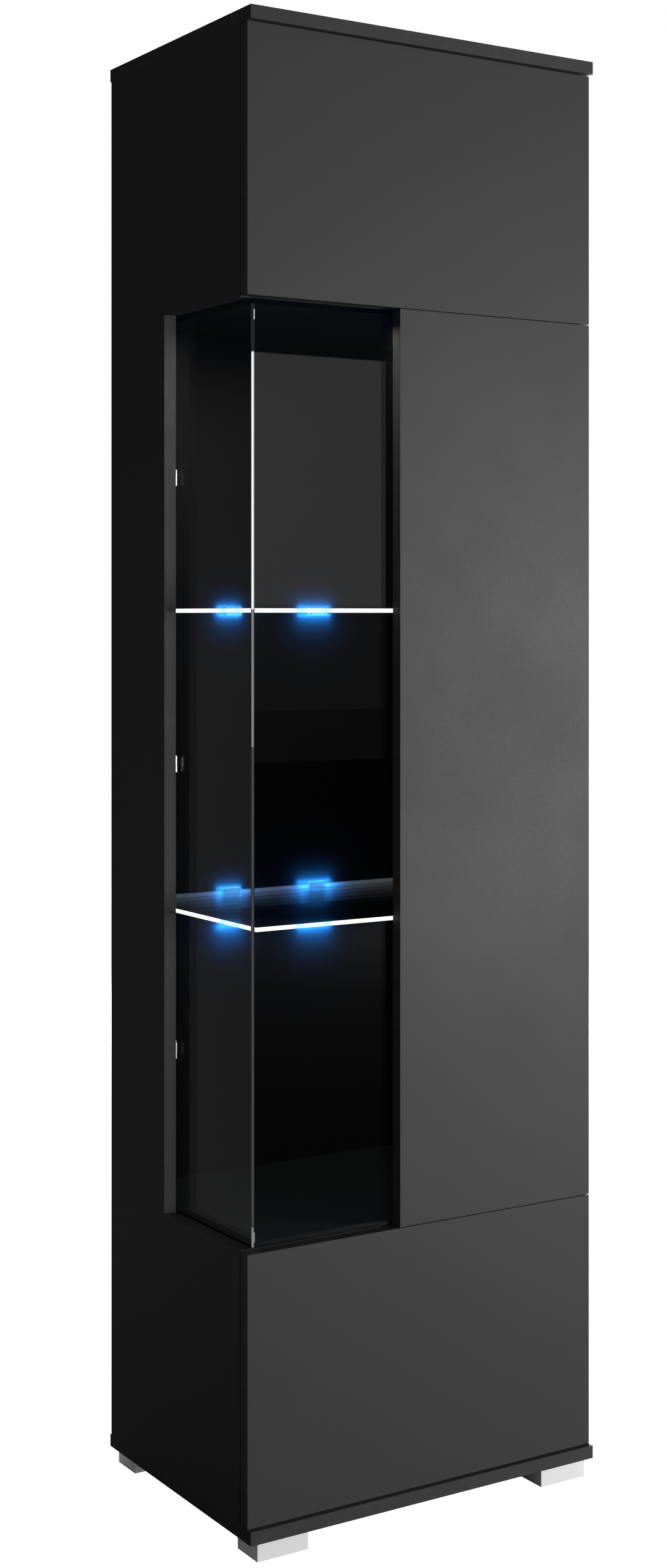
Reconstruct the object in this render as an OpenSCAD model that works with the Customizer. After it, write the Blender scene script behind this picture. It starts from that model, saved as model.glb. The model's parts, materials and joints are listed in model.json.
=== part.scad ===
// Tall display cabinet: a glass corner, three handle-less doors, two lit glass shelves, four block feet.
// Millimetres. Origin on the floor under the middle of the cabinet. +X is right, -Y is the front, +Z is up.

/* [Overall] */
// Width over the boards
width = 500; // [440:1:600]
// Depth from the front edge of the boards to the back
depth = 362; // [330:1:420]
// Height from the floor to the top
height = 1791; // [1700:1:1900]
// Thickness of the boards and the doors
board = 16; // [16:1:18]
// How far the top and base boards stand in front of the doors
overhang = 8; // [4:1:12]
// Height of the lower and the upper closed blocks
block_h = 316.5; // [280:0.5:360]

/* [Glass corner] */
// Width of the front glass that shows beside the wooden panel
front_glass_w = 211.5; // [160:0.5:240]
// Depth of the strip that closes the rear of the left side
strip_d = 146; // [120:1:180]
// Thickness of the panes and the shelves
glass_t = 5; // [4:0.5:6]
// Distance from the left side's outer face to the side pane
glass_inset = 17.5; // [17.5:0.5:22]
// Free height over the panes
glass_top_gap = 6.5; // [4:0.5:10]

/* [Shelves] */
// Underside of the lower shelf, from the floor
shelf_low_z = 721; // [600:1:760]
// Underside of the upper shelf, from the floor
shelf_high_z = 1093; // [1040:1:1150]

/* [Feet] */
// Width of a foot
foot_w = 68; // [50:1:80]
// Depth of a foot
foot_d = 46; // [36:1:60]
// Height of a foot
foot_h = 22; // [18:1:40]

/* [Hardware] */
// Gap between a closed door and the carcass
door_gap = 2; // [2:0.5:3]
// Free height above and below a door
reveal = 0.5; // [0.5:0.5:2]
// Free height between the upper door and the top board
top_reveal = 1; // [0.5:0.5:3]
// Diameter of a hinge cup
cup_dia = 35; // [35:1:35]
// Height of a door hinge from the end of a short door
hinge_end_short = 60; // [55:1:70]
// Height of a door hinge from the end of the glass door
hinge_end_tall = 100; // [80:1:140]

/* [Hidden] */
$fn = 48;

back_t = 3;
back_inset = 2;                                // from the sides' outer faces to the back's edge
slack = 0.1;                                   // radial room of a fastener in its bore
screw_r = 1.75;                                // shank of the screws that hold the fittings
screw_head_r = 3.2;
screw_in = 10;                                 // how far they go into a board

// Planes across the width
x_left = -width / 2;
x_right = width / 2;
x_left_in = x_left + board;
x_right_in = x_right - board;
x_door_edge = x_left + front_glass_w;          // free edge of the glass door's wooden panel
pane_lap = 60;                                 // how far the front pane runs behind that panel
x_pane = x_left + glass_inset;

// Planes across the depth
y_front = -depth / 2;
y_door = y_front + overhang;
y_door_back = y_door + board;
y_carcass = y_door_back + door_gap;
y_back = depth / 2;
y_panel_back = y_back - back_t;
y_strip = y_panel_back - strip_d;
y_pane_back = y_door_back + glass_t;
side_pane_gap = 1.5;

// Planes up the height
z_base_top = foot_h + board;
z_top_under = height - board;
z_low = z_base_top + block_h;                  // floor of the display space
z_high = z_top_under - block_h;                // ceiling of the display space
z_pane_top = z_high - glass_top_gap;

// Hinges: one vertical axis for all doors, near their front right edge
hinge_x = x_right - 3;
hinge_y = y_door + 2;
cup_x = x_right - 22.5;
cup_depth = 11.5;
upper_hinges = [z_high + reveal + hinge_end_short, z_top_under - top_reveal - hinge_end_short];
lower_hinges = [z_base_top + reveal + hinge_end_short, z_low - reveal - hinge_end_short];
glass_hinges = [z_low + reveal + hinge_end_tall, (z_low + z_high) / 2, z_high - reveal - hinge_end_tall];
all_hinges = concat(upper_hinges, glass_hinges, lower_hinges);

// Cam joints sit at two depths, with a dowel between them
cam_ys = [-100, 125];
dowel_y = 12;
cam_edge = 24;                                 // cam centre from the panel's edge
cam_dia = 15;
cam_deep = 12;
bolt_dia = 6;
bolt_in = 10;                                  // how far a bolt goes into the panel it is screwed into
dowel_dia = 8;
dowel_in = 10;
dowel_out = 20;
strip_dowel_ys = [60, 150];
strip_dowel_in = 15;

shelf_zs = [shelf_low_z, shelf_high_z];
shelf_back_y = y_panel_back - 6;
shelf_right_x = x_right_in - 3;
shelf_left_x = x_pane + glass_t + 2.5;
shelf_front_y = y_pane_back + 2;
left_pin_ys = [80, 155];
right_pin_ys = [-110, 155];
pin_dia = 5;
pin_in = 8;

clip_h = 19.5;
clip_zs = [for (k = [-1, 0, 1]) (z_low + z_high) / 2 + 353 * k];
clip_jaw = 1.5;
clip_tail = 8;                                 // length of a clip behind its screw
clip_jaw_from = 14;                            // start of the inner jaw, behind the strip's front edge
clip_screw_r = 1.5;
clip_head_r = 3;
clip_head_t = 1.8;
side_pane_lap = 25;                            // how far the side pane runs behind the strip
clip_screw_y = y_strip + side_pane_lap + 15;

pane_screw_zs = [400, 600, 907, 1214, 1414];
pane_screw_x = x_door_edge + 35;

cable_hole_r = 10;
cable_hole = [170, 90];                        // x and z of the lead's way out of the back

foot_inset_x = 11;
foot_inset_front = 4;
foot_inset_rear = 2.5;

latch_w = 20;
latch_h = 14;
latch_len = 55;
latch_ear_w = 9;                               // width of the screw ear on either side
latch_screw_dx = latch_w / 2 + 5;
latch_ear_d = 16;
latch_ear_t = 3;
latch_ear_y = 15;                              // from the housing's front to its ears
latch_y = y_carcass + 3;
plunger_dia = 8;
plunger_len = 43;
strike_r = 5;
strike_t = 0.8;
plunger_tip_y = y_door_back + strike_t + 0.3;
short_latch_x = x_left_in + 30;                // the upper and the lower door's latches
tall_latch_x = x_door_edge + pane_lap + 40;    // the glass door's latches
latches = [                                    // [x, face it is screwed to, direction away from that face]
    [short_latch_x, z_top_under, -1],
    [tall_latch_x, z_high, -1],
    [tall_latch_x, z_low, 1],
    [short_latch_x, z_low - board, -1]];

// ---------- helpers ----------

module block(x0, x1, y0, y1, z0, z1) {
    translate([x0, y0, z0]) cube([x1 - x0, y1 - y0, z1 - z0]);
}

// A cylinder from point p along +X, +Y or +Z; a negative length runs the other way
module rod_x(p, r, len) {
    translate([len < 0 ? p[0] + len : p[0], p[1], p[2]]) rotate([0, 90, 0]) cylinder(r = r, h = abs(len));
}
module rod_y(p, r, len) {
    translate([p[0], len < 0 ? p[1] + len : p[1], p[2]]) rotate([-90, 0, 0]) cylinder(r = r, h = abs(len));
}
module rod_z(p, r, len) {
    translate([p[0], p[1], len < 0 ? p[2] + len : p[2]]) cylinder(r = r, h = abs(len));
}

// ---------- carcass joints ----------
// Side to top or base: [x of the side's middle, inward direction, z of the joint, direction into the side]
upright_joints = [
    [x_left + board / 2, 1, z_top_under, -1],
    [x_right - board / 2, -1, z_top_under, -1],
    [x_left + board / 2, 1, z_base_top, 1],
    [x_right - board / 2, -1, z_base_top, 1]];
// Divider to side: [x of the joint, inward direction, z of the divider's middle, side of the cam's face]
divider_joints = [
    [x_left_in, 1, z_high + board / 2, 1],
    [x_right_in, -1, z_high + board / 2, 1],
    [x_left_in, 1, z_low - board / 2, -1],
    [x_right_in, -1, z_low - board / 2, -1]];

// grow widens each shape and lets it run out of the face it opens at
module cams(grow = 0) {
    r = cam_dia / 2 + grow;
    deep = cam_deep + grow;
    for (j = upright_joints, y = cam_ys)
        rod_x([j[0] + j[1] * (board / 2 + grow), y, j[2] + j[3] * cam_edge], r, -j[1] * (deep + grow));
    for (j = divider_joints, y = cam_ys)
        rod_z([j[0] + j[1] * cam_edge, y, j[2] + j[3] * (board / 2 + grow)], r, -j[3] * (deep + grow));
}

module cam_slots() {
    slot_w = 1.6;
    slot_l = 9;
    slot_deep = 1.5;
    for (j = upright_joints, y = cam_ys)
        translate([j[0] + j[1] * board / 2, y, j[2] + j[3] * cam_edge])
            for (a = [0, 90]) rotate([a, 0, 0]) cube([2 * slot_deep, slot_w, slot_l], center = true);
    for (j = divider_joints, y = cam_ys)
        translate([j[0] + j[1] * cam_edge, y, j[2] + j[3] * board / 2])
            for (a = [0, 90]) rotate([0, 0, a]) cube([slot_w, slot_l, 2 * slot_deep], center = true);
}

module bolts(grow = 0) {
    r = bolt_dia / 2 + grow;
    out = cam_edge - cam_dia / 2 - 0.5 + (grow > 0 ? 2 : 0);
    for (j = upright_joints, y = cam_ys)
        rod_z([j[0], y, j[2] - j[3] * (bolt_in + grow)], r, j[3] * (bolt_in + grow + out));
    for (j = divider_joints, y = cam_ys)
        rod_x([j[0] - j[1] * (bolt_in + grow), y, j[2]], r, j[1] * (bolt_in + grow + out));
}

module dowels(grow = 0) {
    r = dowel_dia / 2 + grow;
    len = dowel_in + dowel_out + 2 * grow;
    for (j = upright_joints)
        rod_z([j[0], dowel_y, j[2] - j[3] * (dowel_in + grow)], r, j[3] * len);
    for (j = divider_joints)
        rod_x([j[0] - j[1] * (dowel_in + grow), dowel_y, j[2]], r, j[1] * len);
    for (z = [z_low, z_high], y = strip_dowel_ys)
        rod_z([x_left + board / 2, y, z - strip_dowel_in - grow], r, 2 * (strip_dowel_in + grow));
}

module joint_bores() {
    cams(slack);
    bolts(slack);
    dowels(slack);
}

// ---------- carcass panels ----------

module top_board() color("#2b2b2d") difference() {
    block(x_left, x_right, y_front, y_back, z_top_under, height);
    bolts(slack);
    dowels(slack);
    latch_screw_bores();
}

module base_board() color("#2b2b2d") difference() {
    block(x_left, x_right, y_front, y_back, foot_h, z_base_top);
    bolts(slack);
    dowels(slack);
    foot_screw_shanks(slack);
}

module side_block(x0, x1, z0, z1) block(x0, x1, y_carcass, y_panel_back, z0, z1);

module left_side_upper() color("#1f1f21") difference() {
    side_block(x_left, x_left_in, z_high, z_top_under);
    joint_bores();
}

module left_side_lower() color("#1f1f21") difference() {
    side_block(x_left, x_left_in, z_base_top, z_low);
    joint_bores();
}

module left_side_strip() color("#1f1f21") difference() {
    block(x_left, x_left_in, y_strip, y_panel_back, z_low, z_high);
    dowels(slack);
    shelf_pegs(slack);
    clip_screw_shanks(slack);
}

module right_side() color("#1f1f21") difference() {
    side_block(x_right_in, x_right, z_base_top, z_top_under);
    joint_bores();
    shelf_pegs(slack);
    plate_screw_shanks(slack);
}

module divider(z0) side_block(x_left_in, x_right_in, z0, z0 + board);

module upper_divider() color("#1f1f21") difference() {
    divider(z_high);
    joint_bores();
    latch_screw_bores();
}

module lower_divider() color("#1f1f21") difference() {
    divider(z_low - board);
    joint_bores();
    latch_screw_bores();
}

module back_panel() color("#242426") difference() {
    block(x_left + back_inset, x_right - back_inset, y_panel_back, y_back, z_base_top, z_top_under);
    rod_y([cable_hole[0], y_panel_back - 1, cable_hole[1]], cable_hole_r, back_t + 2);
    nail_heads(slack);
}

// Nails hold the back at its upright edges and along the dividers
nail_dia = 5;
nail_deep = 1.2;
nail_first = 30;
nail_step = 185;
nail_zs = [for (k = [0:9]) z_base_top + nail_first + k * nail_step];
nail_points = concat(
    [for (x = [x_left + board / 2, x_right - board / 2], z = nail_zs) [x, z]],
    [for (x = [-120, 0, 120], z = [z_low - board / 2, z_high + board / 2]) [x, z]]);

module nail_heads(grow = 0) {
    for (p = nail_points) rod_y([p[0], y_back + grow, p[1]], nail_dia / 2 + grow, -(nail_deep + 2 * grow));
}

module back_panel_nails() color("silver") nail_heads();

module cam_locks() color("silver") difference() {
    cams();
    cam_slots();
}

module cam_bolts() color("gold") bolts();

module wooden_dowels() color("burlywood") dowels();

// ---------- feet ----------

foot_spots = [
    [x_left + foot_inset_x, y_front + foot_inset_front],
    [x_right - foot_inset_x - foot_w, y_front + foot_inset_front],
    [x_left + foot_inset_x, y_back - foot_inset_rear - foot_d],
    [x_right - foot_inset_x - foot_w, y_back - foot_inset_rear - foot_d]];
foot_screw_dia = 4;
foot_screw_in = 11;
foot_sink = 8;                                 // depth of the counterbore under a foot
foot_sink_dia = 10;
foot_screw_dx = 18;

module at_foot_screws(spots = foot_spots) {
    for (p = spots, k = [-1, 1])
        translate([p[0] + foot_w / 2 + k * foot_screw_dx, p[1] + foot_d / 2, 0]) children();
}

module foot_screw_shanks(grow = 0) {
    at_foot_screws() translate([0, 0, foot_sink])
        cylinder(d = foot_screw_dia + 2 * grow, h = foot_h - foot_sink + foot_screw_in + grow);
}

module foot(k) color("#d8d8da") difference() {
    spot = foot_spots[k];
    block(spot[0], spot[0] + foot_w, spot[1], spot[1] + foot_d, 0, foot_h);
    at_foot_screws([spot]) {
        translate([0, 0, -1]) cylinder(d = foot_sink_dia, h = foot_sink + 1);
        cylinder(d = foot_screw_dia + 2 * slack, h = foot_h + 1);
    }
}

module front_left_foot() foot(0);
module front_right_foot() foot(1);
module rear_left_foot() foot(2);
module rear_right_foot() foot(3);

module foot_screws() color("silver") {
    head_h = 2.5;
    head_dia = 8;
    slot_l = 5;
    foot_screw_shanks();
    at_foot_screws() difference() {
        translate([0, 0, foot_sink - head_h]) cylinder(d = head_dia, h = head_h);
        translate([0, 0, foot_sink - head_h]) cube([slot_l, 1, 2], center = true);
        translate([0, 0, foot_sink - head_h]) cube([1, slot_l, 2], center = true);
    }
}

// ---------- glass corner ----------

module side_pane() color("lightblue", 0.4)
    block(x_pane, x_pane + glass_t, y_pane_back + side_pane_gap, y_strip + side_pane_lap,
        z_low, z_pane_top);

// Each clip reaches from the strip's inner face round the rear edge of the pane
module side_pane_clips() color("silver") difference() {
    y_glass_end = y_strip + side_pane_lap;
    y_jaw_back = y_glass_end + 3;
    x_in = x_pane + glass_t;
    for (z = clip_zs) translate([0, 0, z - clip_h / 2]) {
        block(x_left_in, x_left_in + clip_jaw, y_strip, clip_screw_y + clip_tail, 0, clip_h);
        block(x_left_in, x_in + clip_jaw, y_glass_end + 0.2, y_jaw_back, 0, clip_h);
        block(x_in, x_in + clip_jaw, y_strip + clip_jaw_from, y_jaw_back, 0, clip_h);
    }
    clip_screw_shanks(slack);
}

module clip_screw_shanks(grow = 0) {
    len = screw_in + clip_jaw + 2 * grow;
    for (z = clip_zs) rod_x([x_left_in - screw_in - grow, clip_screw_y, z], clip_screw_r + grow, len);
}

module side_pane_clip_screws() color("silver") difference() {
    slot_l = 3.6;
    slot_w = 0.8;
    slot_deep = 0.8;
    union() {
        clip_screw_shanks();
        for (z = clip_zs) rod_x([x_left_in + clip_jaw, clip_screw_y, z], clip_head_r, clip_head_t);
    }
    for (z = clip_zs, a = [0, 90])
        translate([x_left_in + clip_jaw + clip_head_t, clip_screw_y, z]) rotate([a, 0, 0])
            cube([2 * slot_deep, slot_w, slot_l], center = true);
}

// Soft pads between the two panes at the corner
module side_pane_bumpers() color("white", 0.5) {
    pad_h = 12;
    pad_t = 1.2;
    pad_side = 0.5;
    pad_end = 6;
    y_pad = y_pane_back + side_pane_gap;
    for (z = [z_low + pad_end, z_pane_top - pad_end - pad_h])
        block(x_pane + pad_side, x_pane + glass_t - pad_side, y_pad - pad_t, y_pad, z, z + pad_h);
}

// ---------- shelves ----------

module shelf(z) color("lightblue", 0.5)
    block(shelf_left_x, shelf_right_x, shelf_front_y, shelf_back_y, z, z + glass_t);

module upper_shelf() shelf(shelf_high_z);
module lower_shelf() shelf(shelf_low_z);

peg_drop = 3.5;                                // peg axis below the shelf's underside

// [x of the wall, inward direction, y] for each support of one shelf
pin_spots = concat(
    [for (y = left_pin_ys) [x_left_in, 1, y]],
    [for (y = right_pin_ys) [x_right_in, -1, y]]);

module shelf_pegs(grow = 0) {
    len = pin_in + grow + 2;
    for (s = pin_spots, z = shelf_zs)
        rod_x([s[0] - s[1] * (pin_in + grow), s[2], z - peg_drop], pin_dia / 2 + grow, s[1] * len);
}

module shelf_supports() color("silver") {
    spoon_l = 16;
    spoon_w = 9;
    spoon_t = 2;
    collar_r = 4.5;
    collar_t = 1.5;
    rib_r = 2;
    shelf_pegs();
    for (s = pin_spots, z = shelf_zs) {
        rod_x([s[0], s[2], z - peg_drop], collar_r, s[1] * collar_t);
        translate([s[0] + s[1] * spoon_l / 2, s[2], z - spoon_t / 2])
            cube([spoon_l, spoon_w, spoon_t], center = true);
        rod_x([s[0], s[2], z - peg_drop], rib_r, s[1] * (spoon_l - 3));
    }
}

// ---------- shelf lights ----------
// Two light clips grip the rear edge of each shelf and shine into the glass
led_len = 24;
led_grip = 8;
led_out = 2.5;
led_h = 11;
led_xs = [-77, 56];
emitter_w = 15;
emitter_h = 3;

module at_leds() {
    for (x = led_xs, z = shelf_zs) translate([x, shelf_back_y, z + glass_t / 2]) children();
}

module led_clip_housings() color("#c9c9cc") at_leds() difference() {
    translate([-led_len / 2, -led_grip, -led_h / 2]) cube([led_len, led_grip + led_out, led_h]);
    translate([-led_len / 2 - 1, -led_grip - 1, -glass_t / 2]) cube([led_len + 2, led_grip + 1, glass_t]);
    translate([-emitter_w / 2 - 0.5, -1, -emitter_h / 2 - 0.1]) cube([emitter_w + 1, 2.2, emitter_h + 0.2]);
}

module led_clip_emitters() color("deepskyblue") at_leds()
    translate([-emitter_w / 2, 0.1, -emitter_h / 2]) cube([emitter_w, 1, emitter_h]);

// ---------- doors ----------

module door_block(x0, z0, z1, above = reveal)
    block(x0, x_right, y_door, y_door_back, z0 + reveal, z1 - above);

module cup_bores(zs) {
    for (z = zs) rod_y([cup_x, y_door_back + 1, z], cup_dia / 2, -(cup_depth + 1 + slack));
}

module upper_door() color("#464648") difference() {
    door_block(x_left, z_high, z_top_under, top_reveal);
    cup_bores(upper_hinges);
    cup_screw_shanks(upper_hinges, slack);
}

module lower_door() color("#464648") difference() {
    door_block(x_left, z_base_top, z_low);
    cup_bores(lower_hinges);
    cup_screw_shanks(lower_hinges, slack);
}

module glass_door_panel() color("#464648") difference() {
    door_block(x_door_edge, z_low, z_high);
    cup_bores(glass_hinges);
    cup_screw_shanks(glass_hinges, slack);
    pane_screw_shanks(slack);
}

pane_screw_in = 11;
pane_bore_r = 3;
pane_under_gap = 1.5;                          // free height under the front pane
pane_cap_r = 7;
pane_cap_t = 1.5;

module front_pane() color("lightblue", 0.4) difference() {
    block(x_pane, x_door_edge + pane_lap, y_door_back, y_pane_back, z_low + pane_under_gap, z_pane_top);
    for (z = pane_screw_zs) rod_y([pane_screw_x, y_door_back - 1, z], pane_bore_r, glass_t + 2);
}

module pane_screw_shanks(grow = 0) {
    len = pane_screw_in + glass_t + 2 * grow;
    for (z = pane_screw_zs)
        rod_y([pane_screw_x, y_door_back - pane_screw_in - grow, z], screw_r + grow, len);
}

module front_pane_screws() color("silver") {
    pane_screw_shanks();
    for (z = pane_screw_zs) rod_y([pane_screw_x, y_pane_back, z], screw_head_r, 1);
}

// Ring washers round the screw heads, against the glass
module front_pane_caps() color("silver") difference() {
    for (z = pane_screw_zs) rod_y([pane_screw_x, y_pane_back, z], pane_cap_r, pane_cap_t);
    for (z = pane_screw_zs)
        rod_y([pane_screw_x, y_pane_back - 1, z], screw_head_r + slack, pane_cap_t + 0.6);
}

// ---------- hinges ----------
flange_t = 1.2;
flange_r = 19;
flange_half = 29;                              // half the height of the flange's wings
cup_screw_x = cup_x - 9.5;
cup_screw_dz = 22.5;
cup_mouth_r = 16;

module hinge_cups(zs) color("silver") difference() {
    for (z = zs) {
        rod_y([cup_x, y_door_back + flange_t, z], cup_dia / 2 - slack, -(cup_depth + flange_t));
        rod_y([cup_x, y_door_back, z], flange_r, flange_t);
        block(cup_screw_x - 6, cup_screw_x + 12, y_door_back, y_door_back + flange_t,
            z - flange_half, z + flange_half);
    }
    for (z = zs) rod_y([cup_x, y_door_back + 2, z], cup_mouth_r, -(cup_depth + 1));
    cup_screw_shanks(zs, slack);
}

module cup_screw_shanks(zs, grow = 0) {
    len = screw_in + flange_t + 2 * grow;
    for (z = zs, k = [-1, 1])
        rod_y([cup_screw_x, y_door_back - screw_in - grow, z + k * cup_screw_dz], screw_r + grow, len);
}

module cup_screws(zs) color("silver") {
    cup_screw_shanks(zs);
    for (z = zs, k = [-1, 1])
        rod_y([cup_screw_x, y_door_back + flange_t, z + k * cup_screw_dz], screw_head_r, 0.5);
}

module upper_door_hinge_cups() hinge_cups(upper_hinges);
module glass_door_hinge_cups() hinge_cups(glass_hinges);
module lower_door_hinge_cups() hinge_cups(lower_hinges);
module upper_door_cup_screws() cup_screws(upper_hinges);
module glass_door_cup_screws() cup_screws(glass_hinges);
module lower_door_cup_screws() cup_screws(lower_hinges);

plate_t = 3;
plate_y = y_carcass + 37;                      // screw line, 37 mm behind the carcass's front edge
plate_screw_dz = 16;
plate_screw_in = 11;
plate_half_l = 20;
plate_half_w = 7;
plate_half_h = 23;
arm_web_t = 1.5;
arm_half = 8;                                  // half the arm's height

module hinge_plates() color("silver") difference() {
    for (z = all_hinges) {
        block(x_right_in - plate_t, x_right_in, plate_y - plate_half_l, plate_y + plate_half_l,
            z - plate_half_w, z + plate_half_w);
        block(x_right_in - plate_t, x_right_in, plate_y - plate_half_w, plate_y + plate_half_w,
            z - plate_half_h, z + plate_half_h);
    }
    plate_screw_shanks(slack);
}

module plate_screw_shanks(grow = 0) {
    len = plate_screw_in + plate_t + 2 * grow;
    for (z = all_hinges, k = [-1, 1])
        rod_x([x_right_in + plate_screw_in + grow, plate_y, z + k * plate_screw_dz], screw_r + grow, -len);
}

module hinge_plate_screws() color("silver") {
    plate_screw_shanks();
    for (z = all_hinges, k = [-1, 1])
        rod_x([x_right_in - plate_t, plate_y, z + k * plate_screw_dz], 3.5, -1.6);
}

// The arm is a channel that is open to the left and to the front; the link slides and tilts in it
module hinge_arms() color("silver") {
    x_web = x_right_in - plate_t;
    arm_w = 18;
    arm_front = y_carcass + 5;
    arm_back = plate_y + 22;
    for (z = all_hinges) {
        block(x_web - arm_web_t, x_web, arm_front, arm_back, z - arm_half, z + arm_half);
        for (z0 = [z - arm_half, z + arm_half - arm_web_t])
            block(x_web - arm_w, x_web, arm_front, arm_back, z0, z0 + arm_web_t);
    }
}

// The link turns on a pin in the cup and is cranked to pass over the cup's rim when the door is open
link_pin = [cup_x + 1.5, y_door_back - 4];
link_lean = 6.7;                               // lean to the left when the door is closed, in degrees
link_len = 43;
link_crank = 9;
link_t = 3;
link_half = 5.5;
link_eye_dia = 6;

module hinge_links(zs) color("#b8b8bb") {
    outer = link_crank + link_t / 2;
    inner = link_crank - link_t / 2;
    for (z = zs) translate([link_pin[0], link_pin[1], z - link_half]) rotate([0, 0, 90 + link_lean]) {
        linear_extrude(2 * link_half) polygon([[-1.5, -1], [1.5, -1.5], [6.5, inner], [34, inner],
            [link_len - 1.5, -1.5], [link_len + 1.5, 1], [36, outer], [4, outer]]);
        for (u = [0, link_len]) translate([u, 0, 0]) cylinder(d = link_eye_dia, h = 2 * link_half);
    }
}

module upper_door_hinge_links() hinge_links(upper_hinges);
module glass_door_hinge_links() hinge_links(glass_hinges);
module lower_door_hinge_links() hinge_links(lower_hinges);

// ---------- push latches ----------

module push_latch_housings() color("#3a3a3c") difference() {
    bore_r = plunger_dia / 2 + 0.35;
    half_w = latch_w / 2 + latch_ear_w;
    y_ear = latch_y + latch_ear_y;
    for (l = latches) {
        z_far = l[1] + l[2] * latch_h;
        z_ear = l[1] + l[2] * latch_ear_t;
        block(l[0] - latch_w / 2, l[0] + latch_w / 2, latch_y, latch_y + latch_len,
            min(l[1], z_far), max(l[1], z_far));
        block(l[0] - half_w, l[0] + half_w, y_ear, y_ear + latch_ear_d,
            min(l[1], z_ear), max(l[1], z_ear));
    }
    for (l = latches)
        rod_y([l[0], latch_y - 1, l[1] + l[2] * latch_h / 2], bore_r, latch_len - 4);
    latch_screw_bores();
}

// Puts its children at each latch screw, with Z pointing away from the face that the latch is on
module at_latch_screws() {
    for (l = latches, k = [-1, 1])
        translate([l[0] + k * latch_screw_dx, latch_y + latch_ear_y + latch_ear_d / 2, l[1]])
            rotate([l[2] < 0 ? 180 : 0, 0, 0]) children();
}

module latch_screw_shanks(grow = 0) {
    at_latch_screws() rod_z([0, 0, -screw_in - grow], screw_r + grow, screw_in + latch_ear_t + 2 * grow);
}

module latch_screw_bores() latch_screw_shanks(slack);

module push_latch_screws() color("silver") {
    latch_screw_shanks();
    at_latch_screws() rod_z([0, 0, latch_ear_t], screw_head_r, 1.6);
}

module plunger(l) color("#e8e8e8")
    rod_y([l[0], plunger_tip_y, l[1] + l[2] * latch_h / 2], plunger_dia / 2, plunger_len);

module strike(l) color("silver")
    rod_y([l[0], y_door_back, l[1] + l[2] * latch_h / 2], strike_r, strike_t);

module upper_door_plunger() plunger(latches[0]);
module glass_door_plungers() for (k = [1, 2]) plunger(latches[k]);
module lower_door_plunger() plunger(latches[3]);
module upper_door_strike() strike(latches[0]);
module glass_door_strikes() for (k = [1, 2]) strike(latches[k]);
module lower_door_strike() strike(latches[3]);

// ---------- build ----------

top_board();
base_board();
left_side_upper();
left_side_strip();
left_side_lower();
right_side();
upper_divider();
lower_divider();
back_panel();
back_panel_nails();
front_left_foot();
front_right_foot();
rear_left_foot();
rear_right_foot();
foot_screws();
cam_locks();
cam_bolts();
wooden_dowels();
side_pane();
side_pane_clips();
side_pane_clip_screws();
side_pane_bumpers();
upper_shelf();
lower_shelf();
shelf_supports();
led_clip_housings();
led_clip_emitters();
upper_door();
lower_door();
glass_door_panel();
front_pane();
front_pane_screws();
front_pane_caps();
upper_door_hinge_cups();
glass_door_hinge_cups();
lower_door_hinge_cups();
upper_door_cup_screws();
glass_door_cup_screws();
lower_door_cup_screws();
upper_door_hinge_links();
glass_door_hinge_links();
lower_door_hinge_links();
hinge_arms();
hinge_plates();
hinge_plate_screws();
push_latch_housings();
push_latch_screws();
upper_door_plunger();
glass_door_plungers();
lower_door_plunger();
upper_door_strike();
glass_door_strikes();
lower_door_strike();
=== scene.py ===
import json
import math

import bpy
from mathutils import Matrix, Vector


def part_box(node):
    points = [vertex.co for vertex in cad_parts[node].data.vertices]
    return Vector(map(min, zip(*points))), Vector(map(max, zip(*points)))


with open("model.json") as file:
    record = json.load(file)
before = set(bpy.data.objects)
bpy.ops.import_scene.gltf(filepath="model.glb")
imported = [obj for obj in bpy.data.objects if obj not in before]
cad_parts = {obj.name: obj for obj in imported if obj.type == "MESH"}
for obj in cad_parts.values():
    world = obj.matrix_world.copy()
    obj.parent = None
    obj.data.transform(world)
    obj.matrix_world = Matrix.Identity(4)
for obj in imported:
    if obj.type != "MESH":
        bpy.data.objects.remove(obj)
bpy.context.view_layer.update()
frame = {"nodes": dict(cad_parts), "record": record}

MM = 0.001
X, Y, Z = range(3)

# ---------------------------------------------------------------- camera
camera_data = bpy.data.cameras.new("camera")
camera_data.sensor_width = 36
camera_data.lens = 50.347
camera_data.shift_y = -0.10698
camera_data.clip_start = 0.05
camera_data.clip_end = 60
camera = bpy.data.objects.new("camera", camera_data)
camera.location = (-1.5061, -2.3601, 1.0887)
camera.rotation_euler = (math.radians(90), 0, math.radians(-32.13))
bpy.context.scene.collection.objects.link(camera)
bpy.context.scene.camera = camera

# Colours are shown as they are, so that white stays white
bpy.context.scene.view_settings.view_transform = "Standard"


# ---------------------------------------------------------------- node graphs
COLOUR_A, COLOUR_B, COLOUR_OUT = 6, 7, 2         # a mix node's colour sockets, which share their names


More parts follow.
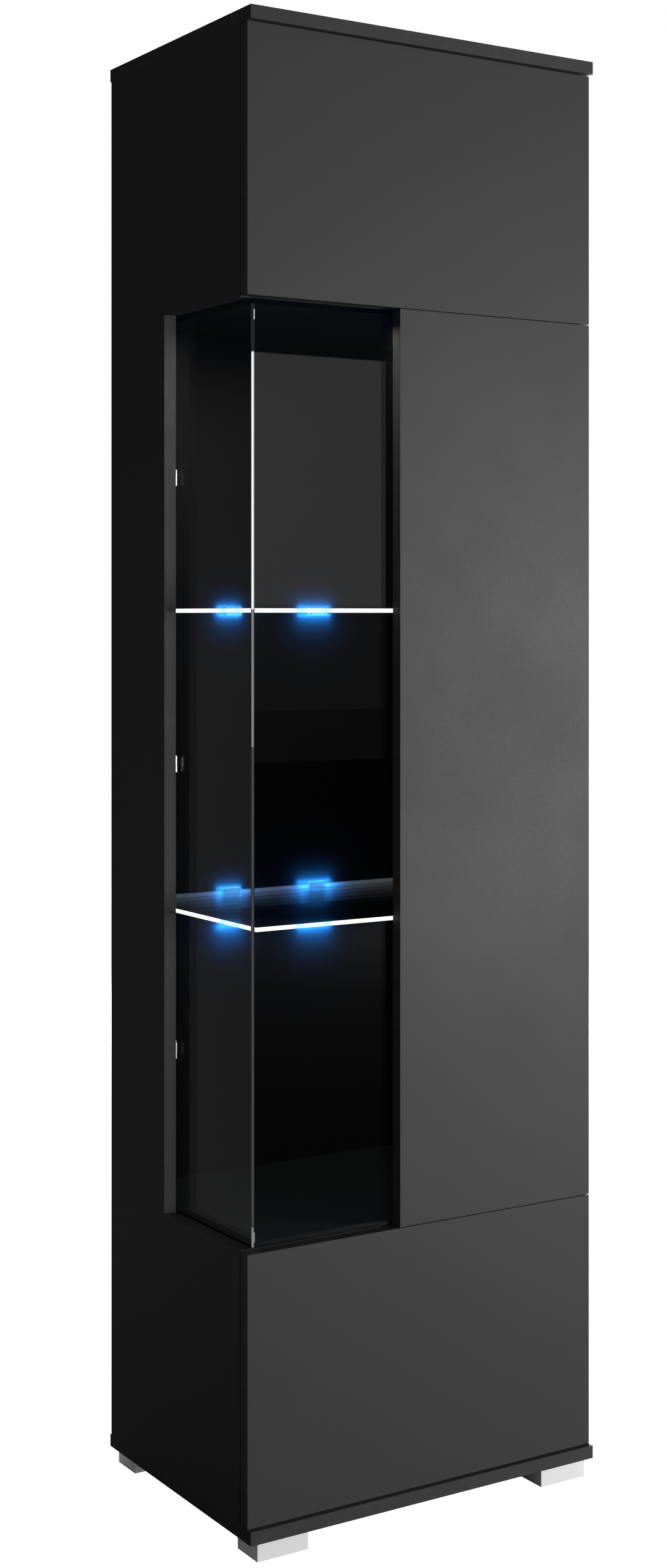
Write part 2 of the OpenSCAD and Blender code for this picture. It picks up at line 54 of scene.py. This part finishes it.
class Graph:
    """One node material, built from short calls."""

    def __init__(self, name):
        self.material = bpy.data.materials.new(name)
        self.material.use_nodes = True
        self.nodes = self.material.node_tree.nodes
        self.nodes.clear()
        self.out = self.nodes.new("ShaderNodeOutputMaterial")
        self.coords = self.nodes.new("ShaderNodeTexCoord")

    def put(self, value, socket):
        if isinstance(value, bpy.types.NodeSocket):
            self.material.node_tree.links.new(value, socket)
        elif value is not None:
            socket.default_value = value

    def node(self, kind, **sockets):
        made = self.nodes.new(kind)
        for name, value in sockets.items():
            self.put(value, made.inputs[name.replace("_", " ")])
        return made

    def math(self, operation, *values):
        made = self.nodes.new("ShaderNodeMath")
        made.operation = operation
        for value, socket in zip(values, made.inputs):
            self.put(value, socket)
        return made.outputs[0]

    def mix(self, factor, first, second):
        """A mix of two colours: first where factor is 0, second where it is 1."""
        made = self.nodes.new("ShaderNodeMix")
        made.data_type = "RGBA"
        self.put(factor, made.inputs["Factor"])
        self.put(first, made.inputs[COLOUR_A])
        self.put(second, made.inputs[COLOUR_B])
        return made.outputs[COLOUR_OUT]

    def ramp(self, value, low, high, start=0.0, end=1.0, smooth=True):
        made = self.nodes.new("ShaderNodeMapRange")
        made.interpolation_type = "SMOOTHSTEP" if smooth else "LINEAR"
        for place, item in enumerate((value, low, high, start, end)):
            self.put(item, made.inputs[place])
        return made.outputs[0]

    def noise(self, scale, detail=2.0, roughness=0.5, stretch=None, offset=(0, 0, 0)):
        vector = self.coords.outputs["Object"]
        if stretch or offset != (0, 0, 0):
            mapping = self.node("ShaderNodeMapping", Vector=vector)
            mapping.inputs["Scale"].default_value = stretch or (1, 1, 1)
            mapping.inputs["Location"].default_value = offset
            vector = mapping.outputs[0]
        return self.node("ShaderNodeTexNoise", Vector=vector, Scale=scale, Detail=detail,
                         Roughness=roughness).outputs[0]

    def position(self):
        return self.node("ShaderNodeSeparateXYZ", Vector=self.coords.outputs["Object"]).outputs

    def facing(self, axis):
        """1 on faces square to that axis of the piece, 0 on the others."""
        parts = self.node("ShaderNodeSeparateXYZ", Vector=self.coords.outputs["Normal"]).outputs
        return self.math("GREATER_THAN", self.math("ABSOLUTE", parts[axis]), 0.6)

    def bump(self, height, distance):
        return self.node("ShaderNodeBump", Height=height, Strength=0.5, Distance=distance).outputs[0]

    def principled(self, **sockets):
        return self.node("ShaderNodeBsdfPrincipled", **sockets).outputs[0]

    def blend(self, share, first, second):
        """A mix of two shaders: first where share is 0, second where it is 1."""
        made = self.nodes.new("ShaderNodeMixShader")
        for value, socket in zip((share, first, second), made.inputs):
            self.put(value, socket)
        return made.outputs[0]

    def finish(self, shader):
        self.put(shader, self.out.inputs[0])
        return self.material


def grey(value, tint=(1, 1, 1)):
    return (value * tint[0], value * tint[1], value * tint[2], 1)


# ---------------------------------------------------------------- materials
def laminate(name, node, tone, tint, thin_axis):
    """Matt laminated board: fine dry grain, soft cloudiness, and the hairline of its edge band."""
    band_t = 0.8 * MM
    wear_w = 1.4 * MM
    g = Graph(name)
    low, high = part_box(node)
    grain = g.noise(1500, 3, 0.65)
    pores = g.noise(420, 4, 0.7, offset=(3.1, 1.7, 0.4))
    cloud = g.noise(4.5, 3, 0.5, offset=(0.7, 2.3, 1.1))
    base = g.mix(grain, grey(tone * 0.86, tint), grey(tone * 1.13, tint))
    base = g.mix(g.ramp(pores, 0.35, 0.62), g.mix(0.5, base, grey(tone * 0.85, tint)), base)
    base = g.mix(g.ramp(cloud, 0.3, 0.7), g.mix(0.35, base, grey(tone * 0.9, tint)), base)

    place = g.position()
    nearest = None
    for axis in (a for a in range(3) if a != thin_axis):
        from_low = g.math("SUBTRACT", place[axis], low[axis])
        from_high = g.math("SUBTRACT", high[axis], place[axis])
        inward = g.math("MINIMUM", from_low, from_high)
        nearest = inward if nearest is None else g.math("MINIMUM", nearest, inward)
    from_line = g.math("ABSOLUTE", g.math("SUBTRACT", nearest, band_t))
    line = g.math("SUBTRACT", 1.0, g.ramp(from_line, 0.05 * MM, 0.16 * MM))
    line = g.math("MULTIPLY", line, g.facing(thin_axis))
    base = g.mix(g.math("MULTIPLY", line, 0.55), base, grey(tone * 0.35, tint))
    at_edge = g.math("SUBTRACT", 1.0, g.ramp(nearest, 0.0, wear_w))
    worn = g.math("MULTIPLY", at_edge, g.ramp(g.noise(38, 4, 0.6), 0.5, 0.72))
    base = g.mix(g.math("MULTIPLY", worn, 0.25), base, grey(tone * 1.9, tint))

    rough = g.ramp(grain, 0.2, 0.8, 0.44, 0.56)
    rough = g.math("ADD", rough, g.ramp(cloud, 0.2, 0.8, -0.03, 0.03))
    height = g.math("ADD", g.math("MULTIPLY", grain, 0.6), g.math("MULTIPLY", pores, 0.8))
    height = g.math("SUBTRACT", height, g.math("MULTIPLY", line, 1.5))
    return g.finish(g.principled(Base_Color=base, Roughness=rough, Specular_IOR_Level=0.145,
                                 Normal=g.bump(height, 0.035 * MM)))


def hardboard(name, tone):
    """Thin back board: dark foil inside, made darker still by painted shade, and a faint fibre pattern."""
    g = Graph(name)
    fibre = g.noise(260, 5, 0.7, stretch=(1, 1, 0.35))
    cloud = g.noise(6, 3)
    base = g.mix(fibre, grey(tone * 0.8), grey(tone * 1.25))
    base = g.mix(g.math("MULTIPLY", cloud, 0.4), base, grey(tone * 0.85, (1, 1, 1.08)))
    rough = g.ramp(fibre, 0.2, 0.8, 0.5, 0.68)
    return g.finish(g.principled(Base_Color=base, Roughness=rough, Specular_IOR_Level=0.08,
                                 Normal=g.bump(fibre, 0.05 * MM)))


def metal(name, tone, tint, rough, stretch, worn=0.0, metallic=1.0):
    """Plated metal with fine drawn lines; a lower metallic share gives a dull, pale plating."""
    g = Graph(name)
    lines = g.noise(2200, 3, 0.5, stretch=stretch)
    stains = g.noise(60, 3)
    base = g.mix(lines, grey(tone * 0.92, tint), grey(tone, tint))
    base = g.mix(g.math("MULTIPLY", g.ramp(stains, 0.5, 0.8), worn), base, grey(tone * 0.7, tint))
    roughness = g.ramp(lines, 0.2, 0.8, rough * 0.8, rough * 1.25)
    return g.finish(g.principled(Base_Color=base, Metallic=metallic, Roughness=roughness,
                                 Normal=g.bump(lines, 0.02 * MM)))


def plastic(name, tone, tint, rough, grain_size):
    """Moulded plastic with a fine eroded texture."""
    g = Graph(name)
    grain = g.noise(1 / grain_size, 3, 0.6)
    cloud = g.noise(25, 2)
    base = g.mix(grain, grey(tone * 0.93, tint), grey(tone * 1.04, tint))
    base = g.mix(g.math("MULTIPLY", cloud, 0.3), base, grey(tone * 0.9, tint))
    roughness = g.ramp(grain, 0.2, 0.8, rough * 0.85, rough * 1.15)
    return g.finish(g.principled(Base_Color=base, Roughness=roughness,
                                 Normal=g.bump(grain, 0.06 * MM)))


def beech(name):
    """Pale wood with long dark fibres."""
    g = Graph(name)
    grain = g.noise(300, 5, 0.6, stretch=(1, 1, 0.08))
    base = g.mix(grain, (0.42, 0.27, 0.14, 1), (0.66, 0.48, 0.3, 1))
    return g.finish(g.principled(Base_Color=base, Roughness=0.65,
                                 Normal=g.bump(grain, 0.05 * MM)))


def see_through(g, tint):
    """A clear sheet of glass: it lets light pass straight on and mirrors more at a grazing view."""
    straight_on = 0.04
    clear = g.node("ShaderNodeBsdfTransparent", Color=tint).outputs[0]
    smudge = g.ramp(g.noise(9, 4, 0.6), 0.4, 0.7, 0.0, 0.02)
    mirror = g.node("ShaderNodeBsdfGlossy", Color=grey(1), Roughness=smudge).outputs[0]
    slant = g.math("POWER", g.node("ShaderNodeLayerWeight", Blend=0.5).outputs["Facing"], 5.0)
    share = g.math("ADD", straight_on, g.math("MULTIPLY", 1 - straight_on, slant))
    return g.blend(share, clear, mirror)


def pane(name, thin_axis, bands, painted_glow_outside_bands):
    """A pane whose ground edges are given a painted glow, strongest in bands by the shelves; a band is
    (from height, to height, power).
    """
    fade = 2 * MM
    g = Graph(name)
    flat = g.facing(thin_axis)
    grind = g.noise(700, 3, 0.6, stretch=(1, 1, 0.2))
    height = g.position()[Z]
    glow = painted_glow_outside_bands
    for low, high, power in bands:
        below = g.ramp(height, high, high + fade, 1.0, 0.0)
        inside = g.math("MULTIPLY", g.ramp(height, low - fade, low), below)
        glow = g.math("ADD", glow, g.math("MULTIPLY", inside, power))
    glow = g.math("MULTIPLY", glow, g.ramp(grind, 0.1, 0.9, 0.93, 1.07))
    glow = g.math("MULTIPLY", glow, g.math("SUBTRACT", 1.0, g.facing(Z)))
    ground = g.mix(grind, (0.016, 0.019, 0.018, 1), (0.03, 0.034, 0.033, 1))
    ground = g.mix(g.facing(Z), ground, (0.012, 0.014, 0.014, 1))
    edge = g.principled(Base_Color=ground, Roughness=0.35,
                        Emission_Color=(0.98, 1.0, 1.0, 1), Emission_Strength=glow,
                        Normal=g.bump(grind, 0.03 * MM))
    return g.finish(g.blend(flat, edge, see_through(g, (0.985, 0.99, 0.99, 1))))


def lit_shelf(name, spots):
    """Shelf glass whose front and left edges glow white, with blue patches at the spots (axis, place)."""
    spot_core = 8 * MM
    spot_rim = 18 * MM
    spot_end = 32 * MM
    g = Graph(name)
    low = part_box("upper_shelf")[0]
    place = g.position()
    grind = g.noise(800, 3, 0.6)
    nearest = None
    for axis, centre in spots:
        away = g.math("ABSOLUTE", g.math("SUBTRACT", place[axis], centre))
        nearest = away if nearest is None else g.math("MINIMUM", nearest, away)
    colour = g.mix(g.ramp(nearest, spot_rim, spot_end), (0.42, 0.8, 1.0, 1), grey(1))
    colour = g.mix(g.ramp(nearest, spot_core, spot_rim), (0.74, 0.97, 1.0, 1), colour)
    left_edge = g.math("LESS_THAN", place[X], low.x + MM)
    front_edge = g.math("LESS_THAN", place[Y], low.y + MM)
    share = g.ramp(g.math("MAXIMUM", left_edge, front_edge), 0.0, 1.0, 0.08, 1.15)
    power = g.math("MULTIPLY", g.ramp(grind, 0.1, 0.9, 0.96, 1.04), share)
    edge = g.principled(Base_Color=(0.7, 0.75, 0.76, 1), Roughness=0.35,
                        Emission_Color=colour, Emission_Strength=power)
    return g.finish(g.blend(g.facing(Z), edge, see_through(g, (0.9, 0.93, 0.93, 1))))


def diode_lens(name):
    """The bright lens over a row of blue diodes."""
    g = Graph(name)
    glow = g.mix(g.noise(500, 2), (0.05, 0.35, 1, 1), (0.3, 0.7, 1, 1))
    return g.finish(g.principled(Base_Color=(0.1, 0.35, 0.9, 1), Roughness=0.2,
                                 Emission_Color=glow, Emission_Strength=1.6))


def lit_housing(name):
    """Clear plastic round the diodes, filled with uneven blue light."""
    g = Graph(name)
    moulded = g.noise(1800, 3, 0.6)
    patchy = g.noise(160, 3, 0.5)
    power = g.math("MULTIPLY", g.ramp(patchy, 0.2, 0.8, 0.5, 0.66), g.ramp(moulded, 0.1, 0.9, 0.95, 1.05))
    glow = g.mix(patchy, (0.045, 0.38, 1.0, 1), (0.08, 0.48, 1.0, 1))
    return g.finish(g.principled(Base_Color=g.mix(moulded, grey(0.3), grey(0.36)), Roughness=0.35,
                                 Emission_Color=glow, Emission_Strength=power,
                                 Normal=g.bump(moulded, 0.05 * MM)))


# ---------------------------------------------------------------- which node wears what
ANTHRACITE = (1.0, 0.985, 0.985)
BOARD_TONE = 0.034
# The dividers are given a darker colour than the other boards: painted shade for the dark inside of the
# display space
PAINTED_SHADE_TONES = {"upper_divider": 0.008, "lower_divider": 0.024}
thin = {"top_board": Z, "base_board": Z, "upper_divider": Z, "lower_divider": Z,
        "left_side_upper": X, "left_side_strip": X, "left_side_lower": X, "right_side": X,
        "upper_door": Y, "lower_door": Y, "glass_door_panel": Y}

slots = {s["node"]: s["material_slot"] for s in frame["record"]["subparts"]}
bright = metal("bright_metal", 0.9, (1, 1, 1), 0.22, (1, 1, 0.05))
by_slot = {
    # The back board's near-black tone is partly its dark foil and partly painted shade of the display space
    "back_board": hardboard("back_board", 0.005),
    "zinc": metal("zinc", 0.72, (1, 1, 1.02), 0.34, (1, 1, 0.2), 0.4, 0.6),
    "bright_metal": bright,
    "hinge_steel": metal("hinge_steel", 0.95, (1, 0.99, 0.97), 0.28, (0.05, 1, 1), 0.3, 0.45),
    "foot_plastic": plastic("foot_plastic", 0.7, (1, 1, 1.005), 0.45, 0.5 * MM),
    "beech": beech("beech"),
    "clear_rubber": bright,                    # the clear pads of the glass corner, given bright metal as a painted glint
    "led_blue": diode_lens("led_blue"),
    "dark_plastic": plastic("dark_plastic", 0.03, (1, 1, 1), 0.45, 0.4 * MM),
    "white_plastic": plastic("white_plastic", 0.75, (1, 1, 0.99), 0.3, 0.4 * MM),
}

z_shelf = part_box("upper_shelf")[1].z
pane_foot, pane_top = (corner.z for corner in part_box("front_pane"))
z_bright = pane_top - 0.057                    # the glow in the corner edge ends here
z_dim = z_shelf - 0.16                         # below this it is weak
painted_glint_h = 0.022                                # height of the painted glint at the foot of the corner edge
front_bands = [(z_shelf, z_bright, 0.92), (z_dim, z_shelf, 0.215), (pane_foot, z_dim, 0.037),
               (pane_foot, pane_foot + painted_glint_h, 0.16)]
spots = [(X, -0.147), (Y, -0.087)]             # where the shelf edges' painted glow turns blue, on the front edge and on the left edge
shelf_glass = lit_shelf("upper_shelf_glass", spots)
own = {
    "front_pane": pane("front_glass", Y, front_bands, 0.014),
    "side_pane": pane("side_glass", X, [(z_shelf, z_bright, 0.08)], 0.01),
    "upper_shelf": shelf_glass,
    "lower_shelf": shelf_glass,
    "led_clip_housings": lit_housing("lit_housing"),
    "side_pane_clip_screws": metal("black_steel", 0.06, (1, 1, 1), 0.4, (1, 1, 0.2)),
}

for name, piece in frame["nodes"].items():
    if name in thin:
        tone = PAINTED_SHADE_TONES.get(name, BOARD_TONE)
        material = laminate(name + "_laminate", name, tone, ANTHRACITE, thin[name])
    else:
        material = own.get(name) or by_slot[slots[name]]
    piece.data.materials.clear()
    piece.data.materials.append(material)

# Softened arrises, so that every panel edge catches a thin line of light; widths in millimetres
soft_edge = {name: 0.35 for name in thin}
soft_edge.update({name: 1.2 for name in frame["nodes"] if name.endswith("_foot")})
soft_edge.update({"front_pane": 0.5, "side_pane": 0.5, "upper_shelf": 0.5, "lower_shelf": 0.5,
                  "side_pane_clips": 0.3, "push_latch_housings": 0.5, "led_clip_housings": 0.6,
                  "hinge_plates": 0.3, "hinge_arms": 0.3})
for name, width in soft_edge.items():
    bevel = frame["nodes"][name].modifiers.new("soft_edge", "BEVEL")
    bevel.width = width * MM
    bevel.segments = 2
    bevel.limit_method = "ANGLE"
    bevel.angle_limit = math.radians(50)
    bevel.harden_normals = False


# ---------------------------------------------------------------- floor, room and lights
def flat_mesh(name, corners):
    mesh = bpy.data.meshes.new(name)
    mesh.from_pydata(corners, [], [tuple(range(len(corners)))])
    made = bpy.data.objects.new(name, mesh)
    bpy.context.scene.collection.objects.link(made)
    return made


def rectangle(x0, x1, y0, y1, z0, z1):
    """Corners of a sheet that is level where z0 == z1, and upright where y0 == y1."""
    if z0 == z1:
        return [(x0, y0, z0), (x1, y0, z0), (x1, y1, z0), (x0, y1, z0)]
    return [(x0, y0, z0), (x1, y0, z0), (x1, y0, z1), (x0, y0, z1)]


# The floor shows white, lights the cabinet from below a little, and is dark where the glass mirrors it
FLOOR = 12
floor = flat_mesh("floor", rectangle(-FLOOR, FLOOR, -FLOOR, FLOOR, 0, 0))
g = Graph("pale_floor")
ray = g.node("ShaderNodeLightPath").outputs
lit = g.node("ShaderNodeEmission", Color=grey(1), Strength=ray["Is Camera Ray"]).outputs[0]
matt_colour = g.mix(ray["Is Glossy Ray"], grey(0.35), grey(0.02))
matt = g.node("ShaderNodeBsdfDiffuse", Color=matt_colour).outputs[0]
both = g.nodes.new("ShaderNodeAddShader")
g.put(lit, both.inputs[0])
g.put(matt, both.inputs[1])
floor.data.materials.append(g.finish(both.outputs[0]))

# The room is white behind the cabinet, gives soft light, and is dark in reflections
world = bpy.data.worlds.new("room")
bpy.context.scene.world = world
world.use_nodes = True
tree = world.node_tree
background = tree.nodes["Background"]
path = tree.nodes.new("ShaderNodeLightPath")
strength = None
for kind, share in (("Is Camera Ray", 1.0), ("Is Diffuse Ray", 0.24), ("Is Glossy Ray", 0.03)):
    step = tree.nodes.new("ShaderNodeMath")
    step.operation = "MULTIPLY_ADD"
    tree.links.new(path.outputs[kind], step.inputs[0])
    step.inputs[1].default_value = share
    step.inputs[2].default_value = 0
    if strength is not None:
        tree.links.new(strength, step.inputs[2])
    strength = step.outputs[0]
tree.links.new(strength, background.inputs["Strength"])
background.inputs["Color"].default_value = grey(1)


def softbox(name, place, target, size, power, tint=(1, 1, 1)):
    lamp = bpy.data.lights.new(name, "AREA")
    lamp.shape = "RECTANGLE"
    lamp.size, lamp.size_y = size
    lamp.energy = power
    lamp.color = tint
    made = bpy.data.objects.new(name, lamp)
    made.location = place
    made.rotation_euler = (Vector(target) - Vector(place)).to_track_quat("-Z", "Y").to_euler()
    made.visible_camera = False
    bpy.context.scene.collection.objects.link(made)
    return made


key = softbox("key", (3.45, -4.05, 0.6), (0.0, -0.17, 0.9), (1.3, 1.75), 375)
softbox("rear_fill", (1.9, 3.2, 1.4), (0.1, 0.17, 0.9), (1.4, 1.6), 330)


# The glass doesn't mirror the key light, which would show as a white patch in it
key_skips = bpy.data.collections.new("key_skips")
key.light_linking.receiver_collection = key_skips
for name in ("front_pane", "side_pane", "upper_shelf", "lower_shelf"):
    key_skips.objects.link(frame["nodes"][name])
for item in key_skips.collection_objects:
    item.light_linking.link_state = "EXCLUDE"

# Blue light that the diode clips throw on the back panel: beside each shelf, and further down under the
# lower one. A glow is (height from the shelf, distance from the panel, height of the light, power); lengths
# are in millimetres.
BLUE = (0.02, 0.28, 1.0)
beside_left = [(5, 3, 2, 0.3), (-5, 3, 2, 0.38), (12, 9, 4, 0.06), (-11, 9, 6, 0.1), (-16, 22, 8, 0.06)]
beside_right = [(5, 3, 2, 0.36), (-5, 3, 2, 0.48), (12, 9, 4, 0.1), (-11, 9, 6, 0.18), (-16, 22, 8, 0.11)]
below_left = [(-45, 4, 3, 0.5), (-50, 10, 4, 0.22), (-58, 22, 8, 0.16)]
below_right = [(-57, 4, 3, 0.5), (-62, 10, 4, 0.22), (-70, 22, 8, 0.16)]
led_low, led_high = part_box("led_clip_emitters")
led_half = 7.5 * MM                            # half the width of an emitter
x_left, x_right = led_low.x + led_half, led_high.x - led_half
y_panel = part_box("back_panel")[0].y
upper_z = sum(corner.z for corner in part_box("upper_shelf")) / 2
lower_z = sum(corner.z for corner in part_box("lower_shelf")) / 2
for x, z, wide, glows in ((x_left, upper_z, 36, beside_left), (x_right, upper_z, 52, beside_right),
                          (x_left, lower_z, 36, beside_left + below_left),
                          (x_right, lower_z, 52, beside_right + below_right)):
    for rise, away, tall, power in glows:
        place = Vector((x, y_panel - away * MM, z + rise * MM))
        throw = softbox("blue_throw", place, place + Vector((0, 1, 0)), (wide * MM, tall * MM), power, BLUE)
        throw.visible_glossy = False

# A little of the shelves' light reaches the ceiling and the floor of the display space
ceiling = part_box("upper_divider")[0].z
up = softbox("navy_wash", (0.0, 0.0, ceiling - 0.06), (0.0, 0.0, ceiling), (0.34, 0.26), 0.24, BLUE)
up.visible_glossy = False
down = softbox("floor_wash", (-0.1, -0.05, ceiling - 0.02), (-0.1, -0.05, 0), (0.2, 0.2), 1.4)
down.visible_glossy = False


def grey_card(name, corners, fade_from, fade_to, below, above):
    """A glowing card that shows only in reflections; its strength changes between two heights."""
    card = flat_mesh(name, corners)
    g = Graph(name)
    strength = g.ramp(g.position()[Z], fade_from, fade_to, below, above, smooth=False)
    glow = g.node("ShaderNodeEmission", Color=grey(1), Strength=strength).outputs[0]
    card.data.materials.append(g.finish(glow))
    card.visible_camera = False
    card.visible_diffuse = False
    card.visible_shadow = False


grey_card("front_card", rectangle(0.9, 1.9, -2.7, -2.7, 0.85, 1.75), 1.10, 1.12, 0.06, 0.36)
grey_card("side_card", rectangle(-1.1, -0.35, 0.5, 0.5, 0.05, 1.62), 1.0, 1.5, 0.075, 0.012)
